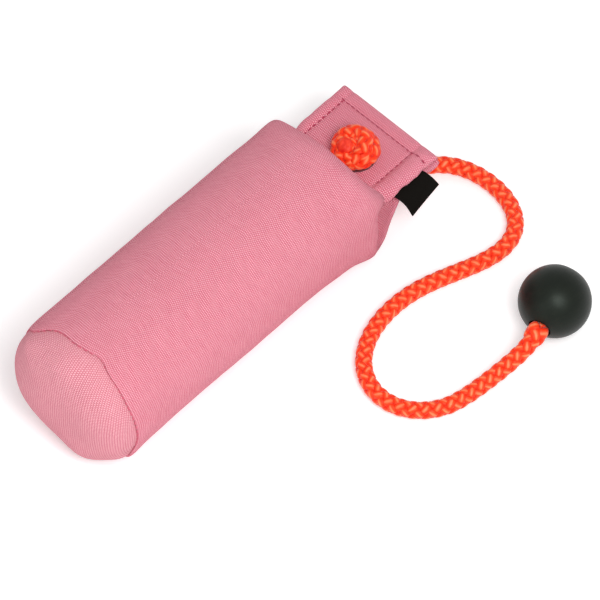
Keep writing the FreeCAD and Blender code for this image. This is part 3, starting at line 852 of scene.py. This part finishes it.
def ball_knot():
    """The stopper knot on the ball's far side, and the rope in its bore."""
    side = unit(np.cross(BORE_AXIS, (0, 0, 1)))
    seat = BALL_CENTRE + BORE_AXIS * 3.05
    turn = ring_line(seat + BORE_AXIS * 2.8, 3.4, 0, 350, 1.0, BORE_AXIS, side)
    core = smooth_line([BALL_CENTRE - BORE_AXIS * BALL_MOUTH, BALL_CENTRE, seat + BORE_AXIS * 5.5])
    knot = braided("ball_knot_braid", [turn, core])
    cap = melted_tip("ball_knot_tip", seat + BORE_AXIS * 5.4, BORE_AXIS, 2.9)
    return knot, cap


# ---- label

LABEL_ROWS = 22
LABEL_COLUMNS = 36
LABEL_THICK = 0.34
LABEL_WIDTH = 13.5
LABEL_NOSE = 6
LABEL_WARP = 0.3
LABEL_WEFT = 0.36


def label_middle():
    """The label's middle surface, from its sewn edge to its folded end, left to right."""
    root = np.array([(LABEL_LOW[0] - 0.3, LABEL_HIGH[1] + 0.8, FLAP_MIDDLE - 0.3),
                     (LABEL_HIGH[0] + 0.3, LABEL_HIGH[1] + 1.0, FLAP_MIDDLE)])
    tip = np.array([(LABEL_LOW[0] + 1.3, LABEL_LOW[1] + 0.5, LABEL_LOW[2] - 1.3),
                    (LABEL_HIGH[0] + 2.6, LABEL_LOW[1] + 2.4, LABEL_LOW[2] + 0.4)])
    middle = np.zeros((LABEL_ROWS, LABEL_COLUMNS, 3))
    for i, t in enumerate(np.linspace(0, 1, LABEL_ROWS)):
        for j, s in enumerate(np.linspace(0, 1, LABEL_COLUMNS)):
            arch = 1.1 * math.sin(math.pi * t) * (0.7 + 0.5 * s)
            wave = 0.35 * math.sin(2.6 * s + 1.0) * t
            pinch = 0.5 * math.sin(math.pi * t) * (1 if s < 0.5 else -0.4) * (2 * s - 1) ** 2
            point = mix(mix(*root, s), mix(*tip, s), t)
            middle[i, j] = point + np.array([pinch, -0.3 * arch, arch + wave])
    return middle


def label():
    """A folded woven label, sewn into the flap's edge, curling down a little."""
    middle = label_middle()
    down = np.gradient(middle, axis=0)
    normal = LABEL_THICK * unit(np.cross(down, np.gradient(middle, axis=1)))
    direction = LABEL_THICK * unit(down[-1])
    nose = []
    for k in range(1, LABEL_NOSE):
        turn = math.pi * k / LABEL_NOSE
        nose.append(middle[-1] + normal[-1] * math.cos(turn) + direction * math.sin(turn))
    rings = np.concatenate([middle + normal, np.array(nose), (middle - normal)[::-1]])
    count = len(rings)
    faces, corners = grid_faces(count, LABEL_COLUMNS, False)
    uvs = [(LABEL_WIDTH * c / (LABEL_COLUMNS - 1), LABEL_WEFT * r) for r, c in corners]
    rims = []
    for i in range(count // 2):
        for j in (0, LABEL_COLUMNS - 1):
            a, b, c, d = (row * LABEL_COLUMNS + j for row in (i, i + 1, count - 2 - i, count - 1 - i))
            rim = (a, b, c, d) if b != c else (a, b, d)
            rims.append(rim[::-1] if j else rim)
    last = (count - 1) * LABEL_COLUMNS
    rims.append((*range(LABEL_COLUMNS), *(last + j for j in reversed(range(LABEL_COLUMNS)))))
    uvs += [(0.0, 0.0)] * sum(len(face) for face in rims)
    return new_mesh("label_cloth", rings.reshape(-1, 3), faces + rims, uvs)


# ---- materials

def srgb(*colour):
    """A colour given in 0 to 255, as Blender's linear values."""
    shares = [c / 255 for c in colour]
    return (*(c / 12.92 if c <= 0.04045 else ((c + 0.055) / 1.055) ** 2.4 for c in shares), 1.0)


class Nodes:
    """A small helper that builds one material's node tree."""

    def __init__(self, name):
        self.material = bpy.data.materials.new(name)
        self.material.use_nodes = True
        self.tree = self.material.node_tree
        self.tree.nodes.clear()
        self.output = self.tree.nodes.new("ShaderNodeOutputMaterial")
        self.shader = self.tree.nodes.new("ShaderNodeBsdfPrincipled")
        self.link(self.shader.outputs[0], self.output.inputs["Surface"])

    def link(self, source, target):
        self.tree.links.new(source, target)

    def add(self, kind, **settings):
        node = self.tree.nodes.new(kind)
        for key, value in settings.items():
            setattr(node, key, value)
        return node

    def put(self, value, socket):
        """A number, colour or another node's output, into a socket."""
        if isinstance(value, bpy.types.NodeSocket):
            self.link(value, socket)
        else:
            socket.default_value = value

    def math(self, operation, a, b=0.0, c=0.0):
        node = self.add("ShaderNodeMath", operation=operation)
        for value, socket in zip((a, b, c), node.inputs):
            self.put(value, socket)
        return node.outputs[0]

    def scaled(self, value, factor, offset=0.0):
        return self.math("MULTIPLY_ADD", value, factor, offset)

    def ridges(self, value):
        """Round ridges, one for each whole step of the value."""
        return self.math("ABSOLUTE", self.math("SINE", self.scaled(value, math.pi)))

    def noise(self, scale, detail=3.0, vector=None, rough=0.5):
        node = self.add("ShaderNodeTexNoise")
        if vector is None:
            vector = self.add("ShaderNodeTexCoord").outputs["Object"]
        self.link(vector, node.inputs["Vector"])
        for key, value in (("Scale", scale), ("Detail", detail), ("Roughness", rough)):
            node.inputs[key].default_value = value
        return node.outputs["Fac"]

    def uv(self):
        split = self.add("ShaderNodeSeparateXYZ")
        self.link(self.add("ShaderNodeUVMap", uv_map="cloth").outputs[0], split.inputs[0])
        return split.outputs[0], split.outputs[1]

    def vector(self, x, y, z=0.0):
        node = self.add("ShaderNodeCombineXYZ")
        for value, socket in zip((x, y, z), node.inputs):
            self.put(value, socket)
        return node.outputs[0]

    def ramp(self, value, stops):
        node = self.add("ShaderNodeValToRGB")
        self.link(value, node.inputs[0])
        elements = node.color_ramp.elements
        while len(elements) < len(stops):
            elements.new(0.5)
        for element, (place, colour) in zip(elements, stops):
            element.position = place
            element.color = colour
        return node.outputs[0]

    def blend(self, share, a, b):
        node = self.add("ShaderNodeMix", data_type="RGBA")
        self.put(share, node.inputs[0])
        self.put(a, node.inputs[6])
        self.put(b, node.inputs[7])
        return node.outputs[2]

    def bump(self, height, distance, strength=1.0):
        node = self.add("ShaderNodeBump")
        node.inputs["Strength"].default_value = strength
        node.inputs["Distance"].default_value = distance
        self.link(height, node.inputs["Height"])
        self.link(node.outputs[0], self.shader.inputs["Normal"])

    def finish(self, colour, roughness, **fixed):
        self.put(colour, self.shader.inputs["Base Color"])
        self.put(roughness, self.shader.inputs["Roughness"])
        for key, value in fixed.items():
            self.shader.inputs[key.replace("_", " ")].default_value = value
        return self.material


RIB = 0.76     # from rib to rib of the canvas, in millimetres
CROSS = 0.62   # from bead to bead along a rib


def weave_height(n, u, v, pitch):
    """Height of a canvas weave: strong ribs, crossed by threads that change sides rib by rib."""
    drift = n.scaled(n.noise(900, 2.0), 0.35, -0.175)
    rib = n.math("ADD", n.math("DIVIDE", v, RIB * pitch), drift)
    cross = n.math("ADD", n.math("DIVIDE", u, CROSS * pitch), drift)
    cross = n.math("ADD", cross, n.scaled(n.math("FLOOR", rib), 0.5))
    return n.math("MULTIPLY", n.scaled(n.ridges(rib), 0.6, 0.4), n.scaled(n.ridges(cross), 0.8, 0.2))


def canvas_material(name, dark, middle, light, pitch=1.0):
    """Canvas; painted shade deepens its colour on the flap, where its weave contrast is stronger too."""
    n = Nodes(name)
    u, v = n.uv()
    height = weave_height(n, u, v, pitch)
    slub = n.noise(1.0, 2.0, n.vector(n.scaled(u, 0.16), n.scaled(v, 1.7)))
    tone = n.math("ADD", n.scaled(slub, 0.3, -0.15), height)
    flap_shade_and_contrast = n.add("ShaderNodeAttribute", attribute_name="flap_shade_and_contrast").outputs["Fac"]
    # The flap's painted shade also raises the weave's contrast there, up to 1.6 times.
    contrast = n.scaled(flap_shade_and_contrast, 0.6, 1.0)
    tone = n.math("MULTIPLY_ADD", n.math("SUBTRACT", tone, 0.5), contrast, 0.5)
    # The weave's colour follows its height: painted highlight on the threads' ridges and painted shade
    # between them, over the slub's own tone.
    colour = n.ramp(tone, [(0.08, dark), (0.5, middle), (0.92, light)])
    patch = n.noise(38, 3.0)
    # Painted shade: the flap is blended a little towards a deeper pink.
    colour = n.blend(n.scaled(flap_shade_and_contrast, 0.13), colour, srgb(232, 96, 122))
    colour = n.blend(n.scaled(patch, 0.16), colour, dark)
    n.bump(height, 0.0003)
    return n.finish(colour, 0.9, Sheen_Weight=0.04, Sheen_Roughness=0.5,
                    Specular_IOR_Level=0.05)


def mottled(name, dark, light, scale, detail, depth, strength):
    """A material's nodes, its two-tone colour and its grain."""
    n = Nodes(name)
    grain = n.noise(scale, detail)
    n.bump(grain, depth, strength)
    return n, n.ramp(grain, [(0.3, dark), (0.7, light)]), grain


def thread_material(name, dark, light):
    n, colour, _ = mottled(name, dark, light, 2600, 2.0, 0.0001, 0.6)
    return n.finish(colour, 0.55, Specular_IOR_Level=0.35)


def rope_material():
    n = Nodes("neon_rope")
    u, v = n.uv()
    lift_and_shade = n.add("ShaderNodeAttribute", attribute_name="lift_and_shade").outputs["Fac"]
    fibre = n.noise(1.0, 3.0, n.vector(n.scaled(u, 9.0), n.scaled(v, 0.9)))
    tone = n.math("ADD", n.scaled(fibre, 0.55, -0.275), lift_and_shade)
    # Painted light and shade: deep red where the strands pass under, light orange along their crests.
    colour = n.ramp(tone, [(0.0, srgb(202, 20, 4)), (0.25, srgb(243, 47, 12)),
                           (0.5, srgb(251, 73, 30)), (0.9, srgb(255, 142, 96))])
    n.bump(fibre, 0.00018, 0.8)
    return n.finish(colour, 0.42, Sheen_Weight=0.16, Sheen_Roughness=0.4,
                    Specular_IOR_Level=0.18)


def melt_material():
    n, colour, _ = mottled("melted_rope", srgb(222, 28, 14), srgb(252, 72, 40), 420, 3.0, 0.0008, 0.9)
    return n.finish(colour, 0.5, Specular_IOR_Level=0.35)


def ball_material():
    n = Nodes("black_lacquered_wood")
    place = n.add("ShaderNodeTexCoord").outputs["Object"]
    mapping = n.add("ShaderNodeMapping")
    n.link(place, mapping.inputs["Vector"])
    mapping.inputs["Rotation"].default_value = (0.3, 0.2, math.radians(-38))
    mapping.inputs["Scale"].default_value = (0.14, 1.0, 1.0)
    grain = n.noise(620, 4.0, mapping.outputs[0], 0.6)
    speck = n.noise(2300, 2.0)
    colour = n.ramp(grain, [(0.3, srgb(7, 9, 6)), (0.55, srgb(11, 14, 9)),
                            (0.8, srgb(18, 20, 14))])
    height = n.scaled(grain, 0.6, n.scaled(speck, 0.4))
    n.bump(height, 0.00012, 0.5)
    return n.finish(colour, n.scaled(speck, 0.12, 0.37), Specular_IOR_Level=0.22,
                    Specular_Tint=(0.86, 1.0, 0.88, 1.0))


def label_material():
    n = Nodes("woven_label")
    u, v = n.uv()
    warp = n.ridges(n.scaled(u, 1 / LABEL_WARP))
    weft = n.ridges(n.scaled(v, 1 / LABEL_WEFT))
    height = n.scaled(warp, 0.6, n.scaled(weft, 0.4))
    # The label's colour follows its weave's height: painted highlight on the ridges and painted shade
    # between them.
    colour = n.ramp(height, [(0.1, srgb(3, 3, 2)), (0.9, srgb(21, 18, 15))])
    n.bump(height, 0.00012, 0.6)
    return n.finish(colour, 0.62, Sheen_Weight=0.02, Specular_IOR_Level=0.03)


def metal_material():
    n, colour, scratch = mottled("brushed_eyelet", srgb(120, 118, 118), srgb(160, 158, 158),
                                 1500, 4.0, 0.00004, 0.4)
    return n.finish(colour, n.scaled(scratch, 0.2, 0.3), Metallic=1.0)


def filling_material(name, dark, light, scale, depth):
    """Foam, film or granules inside the cover."""
    n, colour, _ = mottled(name, dark, light, scale, 3.0, depth, 0.8)
    return n.finish(colour, 0.8)


def dress(piece, material):
    piece.data.materials.clear()
    piece.data.materials.append(material)


# ---- put together

nodes = frame["nodes"]
cover = canvas_cover()
disc = end_disc()
route = rope_route()
rope_line = spline_line(route)
rope = throw_rope(rope_line)
knot, knot_tip = flap_knot()
far_knot, far_tip = ball_knot()
tab = label()
seam_thread = stitches("end_seam_thread", seam_spots(), SEAM_THREAD)
side_thread = stitches("side_seam_thread", side_spots())
end_thread = stitches("flap_end_thread", flap_spots(END_ROW, across=True))
left_thread = stitches("flap_left_thread", flap_spots(LEFT_ROW))
right_thread = stitches("flap_right_thread", flap_spots(RIGHT_ROW))
seam_threads = [seam_thread, side_thread]
flap_threads = [end_thread, left_thread, right_thread]

LOOKS = [
    (canvas_material("pink_canvas", srgb(196, 70, 96), srgb(243, 139, 158), srgb(255, 192, 204)),
     [cover]),
    # The disc's canvas is set lighter and paler than the cover's, as painted light on the end face.
    (canvas_material("pink_canvas_disc_painted_light", srgb(206, 98, 116), srgb(240, 152, 166),
                     srgb(255, 194, 204), 1.18), [disc]),
    (rope_material(), [rope, knot, far_knot]),
    (melt_material(), [knot_tip, far_tip]),
    (label_material(), [tab]),
    (thread_material("seam_thread", srgb(196, 80, 104), srgb(224, 112, 134)), seam_threads),
    (thread_material("sewing_thread", srgb(140, 34, 62), srgb(186, 62, 92)), flap_threads),
    (ball_material(), [nodes["throw_ball"]]),
    (metal_material(), [nodes["eyelet_grommet"], nodes["eyelet_washer"]]),
    (filling_material("foam", srgb(214, 208, 190), srgb(236, 230, 214), 700, 0.0004),
     [nodes["foam_wrap"], nodes["foam_pad_bottom"], nodes["foam_pad_top"]]),
    (filling_material("bag_film", srgb(200, 206, 210), srgb(226, 230, 232), 90, 0.0006),
     [nodes["inner_bag"]]),
    (filling_material("granules", srgb(120, 118, 112), srgb(190, 186, 178), 380, 0.001),
     [nodes["granulate_fill"]]),
]
for look, pieces in LOOKS:
    for piece in pieces:
        dress(piece, look)

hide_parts("cover_sleeve", "flap_upper_ply", "flap_lower_ply", "flap_gusset_left",
            "flap_gusset_right", "flap_end_fold")
for piece, node in [(disc, "end_disc"), (seam_thread, "end_seam_stitches"),
                    (side_thread, "side_seam_stitches"), (end_thread, "flap_end_stitches"),
                    (left_thread, "flap_left_stitches"), (right_thread, "flap_right_stitches"),
                    (rope, "throw_rope"), (knot, "flap_knot"), (far_knot, "ball_knot"),
                    (tab, "label_tab")]:
    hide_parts(node)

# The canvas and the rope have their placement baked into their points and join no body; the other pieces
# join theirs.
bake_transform(cover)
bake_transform(rope)
for body, pieces in [("bumper", [disc] + seam_threads), ("flap", flap_threads), ("label", [tab]),
                     ("flap_knot", [knot, knot_tip]), ("ball_knot", [far_knot, far_tip])]:
    for piece in pieces:
        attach(piece, body)


# ---- floor, light, camera

def floor():
    """A pale floor that shows near white to the camera and keeps the shadow."""
    size = 3000.0
    points = [(-size, -size, 0), (size, -size, 0), (size, size, 0), (-size, size, 0)]
    piece = new_mesh("floor", points, [(0, 1, 2, 3)], smooth=False)
    n = Nodes("white_floor")
    grain = n.noise(30, 2.0)
    colour = n.ramp(grain, [(0.0, (0.90, 0.90, 0.90, 1)), (1.0, (0.93, 0.93, 0.93, 1))])
    n.finish(colour, 0.9, Specular_IOR_Level=0.0)
    glow = n.add("ShaderNodeEmission")
    rays = n.add("ShaderNodeLightPath")
    seen = n.math("ADD", rays.outputs["Is Camera Ray"], rays.outputs["Is Glossy Ray"])
    n.link(n.scaled(seen, 0.26), glow.inputs["Strength"])
    both = n.add("ShaderNodeAddShader")
    n.link(n.shader.outputs[0], both.inputs[0])
    n.link(glow.outputs[0], both.inputs[1])
    n.link(both.outputs[0], n.output.inputs["Surface"])
    dress(piece, n.material)


def world(level):
    """An even pale world, plain white to the camera, in gloss and through glass."""
    made = bpy.data.worlds.new("studio")
    made.use_nodes = True
    tree = made.node_tree
    rays = tree.nodes.new("ShaderNodeLightPath")
    strength = None
    for kind in ("Is Camera Ray", "Is Glossy Ray", "Is Transmission Ray"):
        highest = tree.nodes.new("ShaderNodeMath")
        highest.operation = "MAXIMUM"
        highest.inputs[0].default_value = level
        if strength:
            tree.links.new(strength, highest.inputs[0])
        tree.links.new(rays.outputs[kind], highest.inputs[1])
        strength = highest.outputs[0]
    tree.links.new(strength, tree.nodes["Background"].inputs["Strength"])
    tree.nodes["Background"].inputs["Color"].default_value = (1, 1, 1, 1)
    bpy.context.scene.world = made


AIM = (0.03, -0.03, 0.02)


def area(name, place, size, power):
    """A round soft lamp that points at the bumper."""
    lamp = bpy.data.lights.new(name, "AREA")
    lamp.shape = "DISK"
    lamp.size = size
    lamp.energy = power
    holder = in_scene(name, lamp)
    holder.location = place
    holder.rotation_euler = (Vector(AIM) - Vector(place)).to_track_quat("-Z", "Y").to_euler()


def camera():
    lens = bpy.data.cameras.new("camera")
    lens.sensor_width = 36.0
    lens.lens = 465.2
    lens.clip_end = 20.0
    holder = in_scene("camera", lens)
    holder.location = (-1.015, -1.021, 2.179)
    holder.rotation_euler = (math.radians(33.68), 0.0, math.radians(-46.18))
    bpy.context.scene.camera = holder


floor()
world(0.57)
area("key", (-0.24, -0.54, 0.95), 0.45, 5.1)
area("fill", (-0.16, -0.72, 0.85), 0.5, 2.5)
area("side", (-0.8, -0.12, 0.4), 0.6, 0.9)
camera()
bpy.context.scene.view_settings.view_transform = "Standard"
